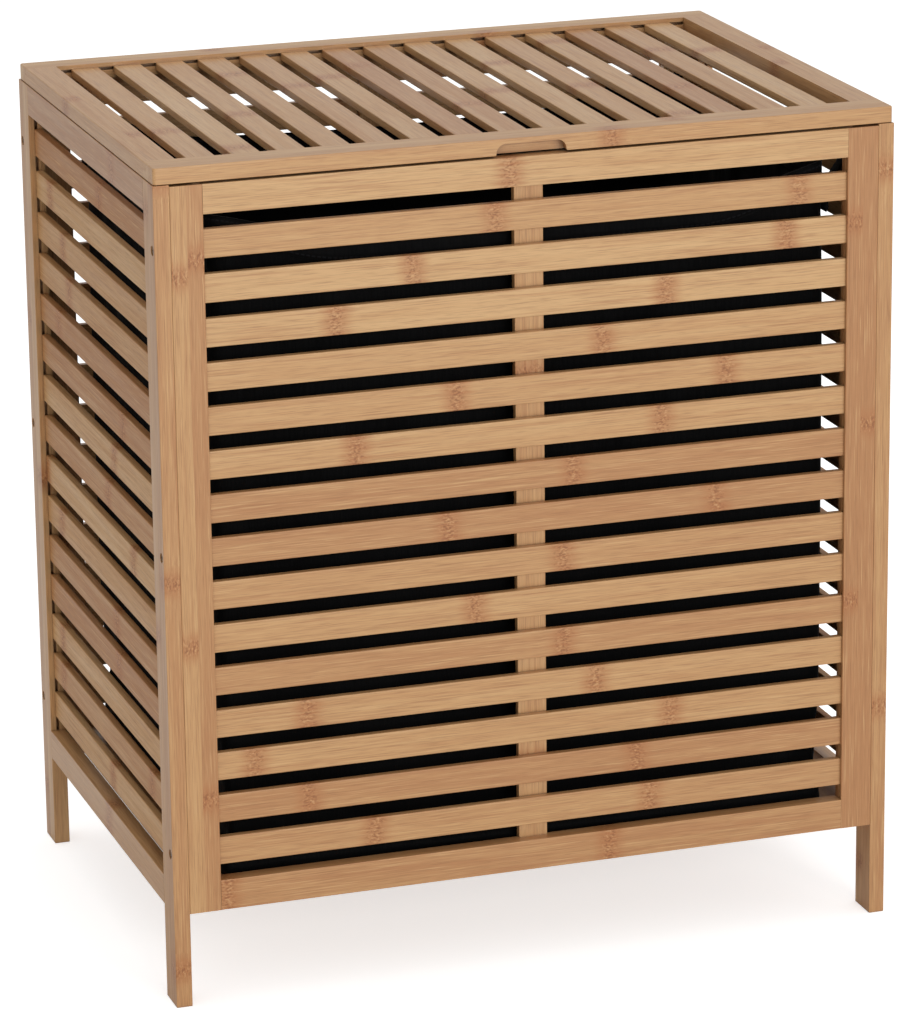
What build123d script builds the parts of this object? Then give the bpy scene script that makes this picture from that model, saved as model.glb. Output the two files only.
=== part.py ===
from build123d import *
import os

# Slatted laundry chest with a hinged slatted lid and a hanging liner bag. All sizes are in millimetres.
# The origin is on the floor, under the middle of the whole object. +X is right, +Y is back, +Z is up.

# ---- Overall size
chest_width = 560.0          # over the outer faces of the legs
chest_depth = 390.0          # front face of the front legs to back face of the back legs
chest_height = 628.0         # floor to the top of the closed lid
foot_height = 72.0           # clear height under the bottom rails

# ---- Frame stock
board = 12.0                 # thickness of legs, rails, stiles and the lid frame
leg_width = 27.0
stile_width = 24.0
rail_height = 23.0
centre_strip_width = 22.0
centre_strip_thickness = 6.0
centre_strip_lap = 10.0      # how far the strip's ends lap over the two rails
edge_radius = 0.5            # eased long edges of the frame pieces

# ---- Slats and their joints
slat_count = 15
slat_width = 21.0
slat_thickness = 6.0
front_slat_recess = 2.8      # slat face below the frame face, front and back panels
side_slat_recess = 4.4
slat_edge_radius = 0.8
tongue_thickness = 2.5       # tongues run in one continuous groove, flush with the slat face
groove_depth = 6.0
tongue_end_gap = 0.4

# ---- Lid
lid_clearance = 0.3          # closed lid above the leg tops
lid_front_setback = 1.0
lid_side_setback = 0.8
lid_back_setback = 1.6
lid_front_rail_width = 26.0
lid_back_rail_width = 22.6
lid_stile_width = 23.0
lid_slat_width = 21.4
lid_slat_recess = 3.2
lid_corner_radius = 2.5
lid_edge_radius = 1.0
scoop_width = 53.0           # blind finger pull in the lower front edge of the lid
scoop_height = 8.4
scoop_depth = 7.5
scoop_top_radius = 7.0       # hollow upper corners
scoop_foot_radius = 1.2      # where its ends flare into the lid's lower edge
scoop_foot_run = 5.0         # flat part of the cutter past each flare

# ---- Hinges: two butt hinges whose leaves fill the gap between back panel and lid
hinge_length = 38.0
hinge_inset = 108.0          # chest side to the middle of a hinge
leaf_thickness = 0.7
leaf_gap = 0.2               # between the two leaves of a closed hinge
leaf_reach = 12.0            # pin axis to the free edge of a leaf
knuckle_radius = 2.2
knuckle_wood_gap = 0.2       # knuckle to the back face of the chest
knuckle_side_gap = 0.2       # between neighbouring knuckles
knuckle_swing_gap = 0.3      # leaf edge to the other leaf's turning knuckle
pin_radius = 1.0
pin_clearance = 0.05         # radial, in the lid's knuckle
pin_head_radius = 1.7
pin_head_thickness = 0.6
hinge_screw_radius = 1.1
hinge_screw_head_radius = 2.0
hinge_screw_length = 9.0
hinge_screw_spacing = 22.0
hinge_screw_edge = 4.0       # screw axis to the free edge of the leaf
cross_slot_length = 2.4
cross_slot_width = 0.5
cross_slot_depth = 0.5

# ---- Screws that join the side frames to the front and back panels
screw_end_distance = 46.0    # first and last screw from the ends of the panel
screw_radius = 2.0
screw_hole_clearance = 0.1   # radial, in the leg
screw_head_radius = 3.5
screw_head_height = 3.0
screw_head_recess = 1.0
screw_head_clearance = 0.2
screw_tip_gap = 1.0          # tip to the groove in the stile
hex_socket_across = 3.6
hex_socket_depth = 2.0

# ---- Floor under the bag
ledger_height = 12.0
ledger_width = 12.0
ledger_end_gap = 0.5
floor_slat_count = 10
floor_slat_width = 40.0
floor_slat_thickness = 6.0
floor_slat_end_gap = 0.7     # to the back of the centre strips
floor_slat_side_gap = 7.0    # first and last slat to the legs

# ---- Liner bag, its loops and hooks
bag_side_gap = 30.0          # bag to the inner face of the legs
bag_front_gap = 4.0          # bag to the back of the centre strip
bag_wall = 2.0
bag_corner_radius = 3.0
bag_rim_drop = 50.0          # rim below the leg tops
hem_height = 12.0
hem_thickness = 0.8
hook_wire_radius = 1.5
hook_drop = 26.0             # hook axis below the leg tops
hook_reach = 24.0            # out of the stile's inner face
hook_upstand = 9.0
hook_bend_radius = 3.5
hook_thread = 6.0
hook_collar_radius = 3.2
hook_collar_thickness = 1.0
loop_width = 10.0
loop_thickness = 2.0
loop_sewn_length = 18.0
loop_clearance = 0.3         # hook wire to the inside of the loop
loop_wall = 1.2
loop_front_gap = 4.0         # bag corner to the loop

# ---- Levels and planes worked out from the sizes above
leg_top = chest_height - board - lid_clearance
panel_top = chest_height - board - 2 * leaf_thickness - leaf_gap
panel_bottom = foot_height
opening_bottom = panel_bottom + rail_height
opening_top = leg_top - rail_height
pin_drop = leaf_thickness + leaf_gap / 2
pin_z = panel_top + pin_drop
hinge_projection = knuckle_wood_gap + 2 * knuckle_radius
front_y = -(chest_depth + hinge_projection) / 2
back_y = front_y + chest_depth
middle_y = (front_y + back_y) / 2
pin_y = back_y + knuckle_wood_gap + knuckle_radius
inner_half_width = chest_width / 2 - board
panel_slat_length = 2 * (inner_half_width - stile_width)
side_slat_length = chest_depth - 2 * leg_width
tongue_length = groove_depth - tongue_end_gap
strip_back = front_slat_recess + slat_thickness + centre_strip_thickness
screw_levels = [
    panel_bottom + screw_end_distance,
    (panel_bottom + panel_top) / 2,
    panel_top - screw_end_distance,
]
lid_bottom = chest_height - board
lid_half_width = chest_width / 2 - lid_side_setback
lid_front_y = front_y + lid_front_setback
lid_back_y = back_y - lid_back_setback
lid_slat_front = lid_front_y + lid_front_rail_width
lid_slat_back = lid_back_y - lid_back_rail_width
floor_level = panel_bottom + ledger_height
bag_bottom = floor_level + floor_slat_thickness
bag_rim = leg_top - bag_rim_drop
bag_half_width = inner_half_width - bag_side_gap
bag_half_depth = chest_depth / 2 - strip_back - bag_front_gap
hook_x = inner_half_width - stile_width / 2
hook_z = leg_top - hook_drop

# Each panel is drawn in its own plane: x along the slats, y across them, and z outwards, with 0 on the
# outer face of the frame.
front_plane = Plane(origin=(0, front_y, 0), x_dir=(1, 0, 0), z_dir=(0, -1, 0))
back_plane = Plane(origin=(0, back_y, 0), x_dir=(-1, 0, 0), z_dir=(0, 1, 0))
left_plane = Plane(origin=(-chest_width / 2, middle_y, 0), x_dir=(0, -1, 0), z_dir=(-1, 0, 0))
right_plane = Plane(origin=(chest_width / 2, middle_y, 0), x_dir=(0, 1, 0), z_dir=(1, 0, 0))
lid_plane = Plane(
    origin=(0, (lid_slat_front + lid_slat_back) / 2, chest_height),
    x_dir=(0, -1, 0),
    z_dir=(0, 0, 1),
)

parts = {}


def block(x0, x1, y0, y1, z0, z1):
    """A box between two corners."""
    centre = Pos((x0 + x1) / 2, (y0 + y1) / 2, (z0 + z1) / 2)
    return centre * Box(abs(x1 - x0), abs(y1 - y0), abs(z1 - z0))


def rod(start, direction, radius, length):
    """A cylinder from a start point along a direction."""
    return Plane(origin=start, z_dir=direction) * Pos(0, 0, length / 2) * Cylinder(radius, length)


def ease(solid, axis, radius):
    """Rounds every edge that runs along one axis."""
    return fillet(solid.edges().filter_by(axis), radius)


def tongued_bar(length, y0, y1, outer, inner, radius):
    """A rail or slat along x, with a thin tongue at each end, flush with its slats' face."""
    bar = ease(block(-length / 2, length / 2, y0, y1, -inner, -outer[0]), Axis.X, radius)
    tongue_half = length / 2 + tongue_length
    tongue = block(
        -tongue_half, tongue_half, y0 + radius, y1 - radius, -outer[1] - tongue_thickness, -outer[1]
    )
    return bar + tongue


def slat(length, centre, width, thickness, recess):
    """One slat: recessed from the frame's face, and tongued at both ends."""
    low = centre - width / 2
    high = centre + width / 2
    return tongued_bar(length, low, high, (recess, recess), recess + thickness, slat_edge_radius)


def cross_rail(length, y0, y1, recess):
    """A frame piece as thick as the board, stub-tenoned into the grooves of the two posts."""
    return tongued_bar(length, y0, y1, (0, recess), board, edge_radius)


def post(side, inner, width, y0, y1):
    """A plain upright beside the opening, before its groove is cut."""
    return block(side * inner, side * (inner + width), y0, y1, -board, 0)


def groove(side, inner, y0, y1, recess):
    """The cutter for the groove in a post's edge."""
    return block(side * inner, side * (inner + groove_depth), y0, y1, -recess - tongue_thickness, -recess)


def slat_centres(count, width, low, high):
    """Centres of slats that are spread evenly between two frame pieces."""
    gap = (high - low - count * width) / (count + 1)
    return [low + gap + width / 2 + i * (width + gap) for i in range(count)]


def screw_hole_in_leg(x, y):
    """Counterbore and clearance hole through a leg, from its outer face."""
    counterbore_depth = screw_head_recess + screw_head_height
    counterbore = rod((x, y, 0), (0, 0, -1), screw_head_radius + screw_head_clearance, counterbore_depth)
    return counterbore + rod((x, y, 0), (0, 0, -1), screw_radius + screw_hole_clearance, board)


def leg(side):
    """A leg of a side frame, grooved for rails and slats and drilled for three screws."""
    inner = side_slat_length / 2
    body = ease(post(side, inner, leg_width, 0, leg_top), Axis.Y, edge_radius)
    outer_edge = body.edges().filter_by(Axis.X).group_by(Axis.Z)[-1]
    body = fillet(outer_edge, edge_radius)
    body -= groove(side, inner, panel_bottom, leg_top, side_slat_recess)
    screw_x = side * (chest_depth / 2 - board / 2)
    for level in screw_levels:
        body -= screw_hole_in_leg(screw_x, level)
    return body


def side_frame(name, plane, front_side):
    """Two legs, two rails and the slats between them."""
    centres = slat_centres(slat_count, slat_width, opening_bottom, opening_top)
    length = side_slat_length
    slats = [slat(length, c, slat_width, slat_thickness, side_slat_recess) for c in centres]
    parts["front_" + name + "_leg"] = plane * leg(front_side)
    parts["back_" + name + "_leg"] = plane * leg(-front_side)
    parts[name + "_top_rail"] = plane * cross_rail(length, opening_top, leg_top, side_slat_recess)
    parts[name + "_bottom_rail"] = plane * cross_rail(length, panel_bottom, opening_bottom, side_slat_recess)
    parts[name + "_slats"] = plane * Compound(children=slats)


def stile(side):
    """An outer upright of the front or back panel, grooved inside and drilled outside."""
    inner = panel_slat_length / 2
    body = ease(post(side, inner, stile_width, panel_bottom, panel_top), Axis.Y, edge_radius)
    body -= groove(side, inner, panel_bottom, panel_top, front_slat_recess)
    outer_x = side * inner_half_width
    for level in screw_levels:
        body -= rod((outer_x, level, -board / 2), (-side, 0, 0), screw_radius, stile_screw_depth())
    hook_hole = rod((side * hook_x, hook_z, -board), (0, 0, 1), hook_wire_radius, hook_thread)
    return body - hook_hole


def stile_screw_depth():
    """How far a screw goes into a stile."""
    return stile_width - groove_depth - screw_tip_gap


def centre_strip():
    """The thin upright that runs behind the slats and is let into the backs of both rails."""
    half = centre_strip_width / 2
    low = opening_bottom - centre_strip_lap
    high = opening_top + centre_strip_lap
    strip = block(-half, half, low, high, -strip_back, -front_slat_recess - slat_thickness)
    return ease(strip, Axis.Y, edge_radius)


def panel_rail(y0, y1):
    """A rail of the front or back panel, notched at the back for the centre strip."""
    rail = cross_rail(panel_slat_length, y0, y1, front_slat_recess)
    return rail - centre_strip()


def wall_panel(name, plane, left_side):
    """The front or back panel: two stiles, two rails, a centre strip and the slats."""
    centres = slat_centres(slat_count, slat_width, opening_bottom, opening_top)
    length = panel_slat_length
    slats = [slat(length, c, slat_width, slat_thickness, front_slat_recess) for c in centres]
    top_rail = panel_rail(opening_top, panel_top)
    if name == "back":
        for x in fixed_leaf_screw_xs():
            top_rail -= rod((x, panel_top, -hinge_screw_setback()), (0, -1, 0), hinge_screw_radius,
                            hinge_screw_length)
    parts[name + "_left_stile"] = plane * stile(left_side)
    parts[name + "_right_stile"] = plane * stile(-left_side)
    parts[name + "_top_rail"] = plane * top_rail
    parts[name + "_bottom_rail"] = plane * panel_rail(panel_bottom, opening_bottom)
    parts[name + "_centre_strip"] = plane * centre_strip()
    parts[name + "_slats"] = plane * Compound(children=slats)


def panel_screw(plane, side, level):
    """A hex-socket connector screw, from inside the leg's counterbore into the stile."""
    seat = screw_head_recess + screw_head_height
    length = board - seat + stile_screw_depth()
    x = side * (chest_depth / 2 - board / 2)
    head = rod((x, level, -seat), (0, 0, 1), screw_head_radius, screw_head_height)
    head = fillet(head.edges().group_by(Axis.Z)[-1], edge_radius)
    socket = RegularPolygon(hex_socket_across / 2, 6, major_radius=False)
    socket_solid = extrude(Pos(x, level, -screw_head_recess - hex_socket_depth) * socket, hex_socket_depth)
    shank = rod((x, level, -seat), (0, 0, -1), screw_radius, length)
    return plane * (head - socket_solid + shank)


def panel_screws():
    """All the screws that hold the four walls together."""
    screws = []
    for plane in (left_plane, right_plane):
        for side in (-1, 1):
            for level in screw_levels:
                screws.append(panel_screw(plane, side, level))
    parts["panel_screws"] = Compound(children=screws)


def floor_parts():
    """Two ledgers on the bottom rails, and the slats that lie on them."""
    length_half = inner_half_width - ledger_end_gap
    wall = front_y + board
    front = block(-length_half, length_half, wall, wall + ledger_width, panel_bottom, floor_level)
    parts["front_floor_ledger"] = ease(front, Axis.X, edge_radius)
    wall = back_y - board
    back = block(-length_half, length_half, wall - ledger_width, wall, panel_bottom, floor_level)
    parts["back_floor_ledger"] = ease(back, Axis.X, edge_radius)
    half_slat = chest_depth / 2 - strip_back - floor_slat_end_gap
    first = -inner_half_width + floor_slat_side_gap + floor_slat_width / 2
    step = -2 * first / (floor_slat_count - 1)
    slats = []
    for i in range(floor_slat_count):
        left = first + i * step - floor_slat_width / 2
        right = left + floor_slat_width
        solid = block(left, right, middle_y - half_slat, middle_y + half_slat, floor_level, bag_bottom)
        slats.append(ease(solid, Axis.Y, slat_edge_radius))
    parts["floor_slats"] = Compound(children=slats)


def finger_scoop():
    """The cutter for the blind finger pull, with round upper corners and ends that flare at the foot."""
    side = scoop_width / 2
    end = side + scoop_foot_run
    corners = [(-end, 0), (-side, 0), (-side, scoop_height), (side, scoop_height), (side, 0), (end, 0)]
    corners += [(end, -scoop_height), (-end, -scoop_height)]
    profile = make_face(Polyline(*corners, close=True))
    upper = profile.vertices().filter_by(lambda v: v.Y > scoop_height / 2)
    profile = fillet(upper, scoop_top_radius)
    lower = profile.vertices().filter_by(lambda v: abs(v.Y) < 0.01 and abs(v.X) < end - 0.01)
    profile = fillet(lower, scoop_foot_radius)
    face = Plane(origin=(0, lid_front_y, lid_bottom), x_dir=(-1, 0, 0), z_dir=(0, 1, 0)) * profile
    return extrude(face, scoop_depth)


def lid_rail(side, width):
    """A full-width rail of the lid, with rounded outer corners and edges, grooved inside."""
    inner = (lid_slat_back - lid_slat_front) / 2
    body = post(side, inner, width, -lid_half_width, lid_half_width)
    outer_x = side * (inner + width)
    corners = body.edges().filter_by(Axis.Z).filter_by(lambda e: abs(e.center().X - outer_x) < 0.1)
    body = fillet(corners, lid_corner_radius)
    inner_x = side * inner
    rim = body.edges().filter_by(lambda e: abs(e.center().Z) < 0.1 and abs(e.center().X - inner_x) > 0.1)
    body = fillet(rim, lid_edge_radius)
    foot = body.edges().filter_by(
        lambda e: abs(e.center().Z + board) < 0.1 and abs(e.center().X - inner_x) > 0.1
    )
    body = fillet(foot, edge_radius)
    return body - groove(side, inner, -lid_half_width, lid_half_width, lid_slat_recess)


def lid_stile(side):
    """A side piece of the lid, between its two rails."""
    length = lid_slat_back - lid_slat_front
    outer = side * lid_half_width
    inner = side * (lid_half_width - lid_stile_width)
    body = block(-length / 2, length / 2, outer, inner, -board, 0)
    top_edge = body.edges().filter_by(
        lambda e: abs(e.center().Y - outer) < 0.1 and abs(e.center().Z) < 0.1
    )
    body = fillet(top_edge, lid_edge_radius)
    foot_edge = body.edges().filter_by(
        lambda e: abs(e.center().Y - outer) < 0.1 and abs(e.center().Z + board) < 0.1
    )
    body = fillet(foot_edge, edge_radius)
    tongue_half = length / 2 + tongue_length
    low, high = min(inner, outer), max(inner, outer)
    return body + block(
        -tongue_half, tongue_half, low, high, -lid_slat_recess - tongue_thickness, -lid_slat_recess
    )


def lid_parts():
    """The lid's frame and its slats, which run from front to back."""
    front_rail = lid_plane * lid_rail(1, lid_front_rail_width)
    parts["lid_front_rail"] = front_rail - finger_scoop()
    back_rail = lid_plane * lid_rail(-1, lid_back_rail_width)
    for side in (-1, 1):
        for x in hinge_screw_xs(side):
            start = (x, leaf_screw_y(), lid_bottom)
            back_rail -= rod(start, (0, 0, 1), hinge_screw_radius, hinge_screw_length)
    parts["lid_back_rail"] = back_rail
    parts["lid_left_stile"] = lid_plane * lid_stile(-1)
    parts["lid_right_stile"] = lid_plane * lid_stile(1)
    inner_edge = lid_half_width - lid_stile_width
    length = lid_slat_back - lid_slat_front
    centres = slat_centres(slat_count, lid_slat_width, -inner_edge, inner_edge)
    for i, centre in enumerate(centres):
        solid = slat(length, centre, lid_slat_width, slat_thickness, lid_slat_recess)
        parts["lid_slat_%02d" % (i + 1)] = lid_plane * solid


def hinge_centre(side):
    """Where a hinge sits along the back edge."""
    return side * (chest_width / 2 - hinge_inset)


def hinge_screw_xs(side):
    """The two screw positions of one hinge leaf."""
    middle = hinge_centre(side)
    return [middle - hinge_screw_spacing / 2, middle + hinge_screw_spacing / 2]


def leaf_screw_y():
    """The screw line of both leaves."""
    return pin_y - leaf_reach + hinge_screw_edge


def hinge_screw_setback():
    """The screw line measured from the back face of the chest."""
    return back_y - leaf_screw_y()


def fixed_leaf_screw_xs():
    """Screw positions on the back rail, in the back panel's own plane."""
    return [-x for side in (-1, 1) for x in hinge_screw_xs(side)]


def knuckle_spans(side):
    """The fixed leaf's two outer knuckles and the lid leaf's middle one."""
    start = hinge_centre(side) - hinge_length / 2
    third = hinge_length / 3
    fixed = [(start, start + third), (start + 2 * third, start + hinge_length)]
    moving = [(start + third + knuckle_side_gap, start + 2 * third - knuckle_side_gap)]
    return fixed, moving


def hinge_leaf(side, own, other, z0, z1, bore, head_up):
    """A flat leaf with its rolled knuckles and countersunk holes."""
    start = hinge_centre(side) - hinge_length / 2
    plate = block(start, start + hinge_length, pin_y - leaf_reach, pin_y, z0, z1)
    swing = knuckle_radius + knuckle_swing_gap
    for low, high in other:
        plate -= block(
            low - knuckle_side_gap, high + knuckle_side_gap, pin_y - swing, pin_y + swing, z0 - 1, z1 + 1
        )
    for low, high in own:
        plate += rod((low, pin_y, pin_z), (1, 0, 0), knuckle_radius, high - low)
    plate -= rod((start - 1, pin_y, pin_z), (1, 0, 0), bore, hinge_length + 2)
    for x in hinge_screw_xs(side):
        plate -= countersunk_head(x, head_up)
    return plate


def countersunk_head(x, head_up):
    """The cone of a hinge screw's head, as deep as the leaf is thick."""
    if head_up:
        cone = Cone(hinge_screw_radius, hinge_screw_head_radius, leaf_thickness)
        return Pos(x, leaf_screw_y(), panel_top + leaf_thickness / 2) * cone
    cone = Cone(hinge_screw_head_radius, hinge_screw_radius, leaf_thickness)
    return Pos(x, leaf_screw_y(), lid_bottom - leaf_thickness / 2) * cone


def hinge_screw(x, head_up):
    """A small countersunk screw with a cross slot."""
    y = leaf_screw_y()
    way = -1 if head_up else 1
    wood = panel_top if head_up else lid_bottom
    face = wood - way * leaf_thickness
    shank = rod((x, y, wood), (0, 0, way), hinge_screw_radius, hinge_screw_length)
    screw = countersunk_head(x, head_up) + shank
    bottom = face + way * cross_slot_depth
    half_length = cross_slot_length / 2
    half_width = cross_slot_width / 2
    screw -= block(x - half_length, x + half_length, y - half_width, y + half_width, face, bottom)
    screw -= block(x - half_width, x + half_width, y - half_length, y + half_length, face, bottom)
    return screw


def hinge_pin(side):
    """The pin, with a flat head at each end."""
    start = hinge_centre(side) - hinge_length / 2
    pin = rod((start, pin_y, pin_z), (1, 0, 0), pin_radius, hinge_length)
    pin += rod((start, pin_y, pin_z), (-1, 0, 0), pin_head_radius, pin_head_thickness)
    return pin + rod((start + hinge_length, pin_y, pin_z), (1, 0, 0), pin_head_radius, pin_head_thickness)


def hinges():
    """Two butt hinges and their screws."""
    fixed_screws = []
    lid_screws = []
    for name, side in (("left", -1), ("right", 1)):
        fixed, moving = knuckle_spans(side)
        parts[name + "_hinge_fixed_leaf"] = hinge_leaf(
            side, fixed, moving, panel_top, panel_top + leaf_thickness, pin_radius, True
        )
        parts[name + "_hinge_lid_leaf"] = hinge_leaf(
            side, moving, fixed, lid_bottom - leaf_thickness, lid_bottom, pin_radius + pin_clearance, False
        )
        parts[name + "_hinge_pin"] = hinge_pin(side)
        fixed_screws += [hinge_screw(x, True) for x in hinge_screw_xs(side)]
        lid_screws += [hinge_screw(x, False) for x in hinge_screw_xs(side)]
    parts["hinge_fixed_screws"] = Compound(children=fixed_screws)
    parts["hinge_lid_screws"] = Compound(children=lid_screws)


def bag_box(offset, z0, z1):
    """An upright box with the bag's plan, grown or shrunk by an offset."""
    box = block(
        -bag_half_width - offset,
        bag_half_width + offset,
        middle_y - bag_half_depth - offset,
        middle_y + bag_half_depth + offset,
        z0,
        z1,
    )
    return ease(box, Axis.Z, bag_corner_radius)


def bag_parts():
    """The open bag and the binding inside its rim."""
    parts["liner_bag"] = bag_box(0, bag_bottom, bag_rim) - bag_box(-bag_wall, bag_bottom + bag_wall, bag_rim)
    hem_low = bag_rim - hem_height
    hem = bag_box(-bag_wall, hem_low, bag_rim) - bag_box(-bag_wall - hem_thickness, hem_low, bag_rim)
    parts["bag_hem"] = hem


def bag_hook():
    """An L-shaped screw hook with a collar, drawn at the front right corner."""
    face = front_y + board
    tip = face + hook_reach
    route = FilletPolyline(
        (hook_x, face - hook_thread, hook_z),
        (hook_x, tip, hook_z),
        (hook_x, tip, hook_z + hook_upstand),
        radius=hook_bend_radius,
    )
    section = Plane(origin=route @ 0, z_dir=route % 0) * Circle(hook_wire_radius)
    wire = sweep(section, path=route)
    collar = rod((hook_x, face, hook_z), (0, 1, 0), hook_collar_radius, hook_collar_thickness)
    return wire + collar


def bag_loop():
    """A webbing loop, sewn to the bag's side and hung on a hook, drawn at the front right corner."""
    start_y = middle_y - bag_half_depth + loop_front_gap
    eye = hook_wire_radius + loop_clearance
    side_x = bag_half_width
    around = Pos(hook_x, hook_z) * Circle(eye + loop_wall)
    foot = Line((side_x, bag_rim), (side_x + loop_thickness, bag_rim))
    tear = make_hull(around.edges() + [foot])
    sewn = Pos(side_x + loop_thickness / 2, bag_rim - loop_sewn_length / 2) * Rectangle(
        loop_thickness, loop_sewn_length
    )
    profile = tear + sewn - Pos(hook_x, hook_z) * Circle(eye)
    plane = Plane(origin=(0, start_y, 0), x_dir=(1, 0, 0), z_dir=(0, -1, 0))
    return extrude(plane * profile, -loop_width)


def four_corners(solid):
    """Copies of a piece, mirrored into the four corners."""
    middle = Plane(origin=(0, middle_y, 0), x_dir=(1, 0, 0), z_dir=(0, 1, 0))
    front = [solid, mirror(solid, Plane.YZ)]
    back = [mirror(piece, middle) for piece in front]
    return Compound(children=front + back)


side_frame("left", left_plane, 1)
side_frame("right", right_plane, -1)
wall_panel("front", front_plane, -1)
wall_panel("back", back_plane, 1)
panel_screws()
floor_parts()
lid_parts()
hinges()
bag_parts()
parts["bag_hooks"] = four_corners(bag_hook())
parts["bag_loops"] = four_corners(bag_loop())

os.makedirs("parts", exist_ok=True)
for node, shape in parts.items():
    export_step(shape, "parts/" + node + ".step")
    print(node, round(shape.volume / 1000, 2), "cm3")
print(len(parts), "nodes")
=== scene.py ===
# %% [markdown]
# # Dressing a slatted bamboo laundry chest
# The chest comes in as a fixed frame: fifty-seven rigid pieces that already have their true size and place.
# What is left to make is everything the eye judges: bamboo with its fibres and nodes, metal for the screws,
# hinges and hooks, and the soft black liner that hangs inside. The lid swings on its hinges, so each piece
# that is added has to ride on the right body.

# %% Load the frame and keep its box
import math

import bpy
from mathutils import Euler, Matrix, Vector


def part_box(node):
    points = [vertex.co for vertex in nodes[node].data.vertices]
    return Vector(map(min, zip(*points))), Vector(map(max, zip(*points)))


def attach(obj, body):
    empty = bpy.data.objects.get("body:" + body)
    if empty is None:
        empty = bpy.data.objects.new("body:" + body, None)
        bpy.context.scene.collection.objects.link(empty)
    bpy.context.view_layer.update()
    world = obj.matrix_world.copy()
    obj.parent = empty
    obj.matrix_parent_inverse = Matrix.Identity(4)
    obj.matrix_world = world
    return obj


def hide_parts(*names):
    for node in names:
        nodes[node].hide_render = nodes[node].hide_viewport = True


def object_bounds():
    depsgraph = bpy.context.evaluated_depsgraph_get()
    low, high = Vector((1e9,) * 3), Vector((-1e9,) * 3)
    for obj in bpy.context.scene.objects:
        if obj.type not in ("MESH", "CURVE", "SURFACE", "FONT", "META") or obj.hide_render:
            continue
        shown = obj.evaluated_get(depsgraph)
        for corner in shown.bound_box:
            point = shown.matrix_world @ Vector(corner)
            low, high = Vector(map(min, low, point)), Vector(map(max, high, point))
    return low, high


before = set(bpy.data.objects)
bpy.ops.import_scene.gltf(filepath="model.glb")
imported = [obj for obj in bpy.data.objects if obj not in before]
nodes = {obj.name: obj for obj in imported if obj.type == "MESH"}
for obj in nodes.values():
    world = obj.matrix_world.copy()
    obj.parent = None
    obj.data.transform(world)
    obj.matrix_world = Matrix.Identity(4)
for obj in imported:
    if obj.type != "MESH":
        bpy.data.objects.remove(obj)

cad_low, cad_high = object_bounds()

# %% [markdown]
# ## The camera
# A photographer of small furniture stands well back with a long lens, so that the uprights stay nearly
# parallel. The camera here is aimed at the middle of the chest from its left front corner, a little above the
# lid. It could be placed by typing six numbers; aiming it from a heading, a tilt and a distance says more, and
# keeps working if the chest changes size.

# %% Aim a long lens at the chest
camera_heading = math.radians(18.32)   # from straight back towards the right
camera_tilt = math.radians(16.85)      # below the horizon
camera_roll = math.radians(-0.71)
camera_distance = 3.828
aim_offset = Vector((0.0014, -0.0060, -0.0177))

chest_middle = (cad_low + cad_high) / 2
upright_turn = Euler((math.pi / 2 - camera_tilt, 0, -camera_heading)).to_matrix()
camera_turn = upright_turn @ Matrix.Rotation(camera_roll, 3, "Z")
camera_data = bpy.data.cameras.new("studio_camera")
camera_data.lens = 176.43
camera_data.sensor_width = 36
camera = bpy.data.objects.new("studio_camera", camera_data)
camera.location = chest_middle + aim_offset + camera_turn @ Vector((0, 0, camera_distance))
camera.rotation_euler = camera_turn.to_euler()
bpy.context.scene.collection.objects.link(camera)
bpy.context.scene.camera = camera
print("camera at", [round(value, 3) for value in camera.location])

# %% [markdown]
# ## Working by hand, in code
# Operators act on whatever is selected, and loading the frame leaves every piece selected. So each new piece
# starts from nothing selected, and faces or edges are picked by a test on where they are. These few helpers do
# that, and they are used for everything that follows.

# %% Helpers for selecting and editing
def start_clean():
    """Leave edit mode and let go of everything."""
    if bpy.context.object and bpy.context.object.mode != "OBJECT":
        bpy.ops.object.mode_set(mode="OBJECT")
    bpy.ops.object.select_all(action="DESELECT")


def work_on(piece):
    """Make one piece the selected, active one."""
    start_clean()
    piece.select_set(True)
    bpy.context.view_layer.objects.active = piece


def pick(piece, kind, test):
    """Select the faces, edges or vertices of a piece that pass a test, and enter edit mode."""
    work_on(piece)
    mesh = piece.data
    for items in (mesh.vertices, mesh.edges, mesh.polygons):
        items.foreach_set("select", [False] * len(items))
    items = {"VERT": mesh.vertices, "EDGE": mesh.edges, "FACE": mesh.polygons}[kind]
    chosen = [item for item in items if test(item)]
    for item in chosen:
        item.select = True
    bpy.ops.object.mode_set(mode="EDIT")
    bpy.ops.mesh.select_mode(type=kind)
    return len(chosen)


def settle(piece):
    """Put the place, turn and size of a piece into its mesh."""
    work_on(piece)
    bpy.ops.object.transform_apply(location=True, rotation=True, scale=True)


def add_modifier(piece, kind, **settings):
    """Add a modifier with its settings and apply it at once."""
    work_on(piece)
    modifier = piece.modifiers.new(kind.title(), kind)
    for name, value in settings.items():
        setattr(modifier, name, value)
    bpy.ops.object.modifier_apply(modifier=modifier.name)


# %% [markdown]
# ## The studio
# The room is a pale floor under an even white sky, with one large soft light in front and a weaker one
# overhead. The front light stands far off, so that it falls as evenly on the feet as on the lid. The lid and
# the left side are seen at a low angle, so they mirror a little of the white room and look greyer than the
# front. The floor is brightened only where the camera looks straight at it, so that it reads as clean white
# paper without lighting the chest from below.

# %% Lay the floor and hang the lights
sky_strength = 0.55
floor_size = 24.0
floor_glow = 0.60
floor_albedo = 0.92
lights = {
    "front_softbox": {"power": 105.0, "place": Vector((0.7, -5.6, 1.7)), "size": 2.6},
    "overhead_softbox": {"power": 12.0, "place": Vector((0.2, 0.3, 3.0)), "size": 2.4},
}

bpy.context.scene.view_settings.view_transform = "Standard"
sky = bpy.data.worlds.new("white_room")
bpy.context.scene.world = sky
sky.use_nodes = True
sky.node_tree.nodes["Background"].inputs["Color"].default_value = (1.0, 1.0, 1.0, 1.0)
sky.node_tree.nodes["Background"].inputs["Strength"].default_value = sky_strength

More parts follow.
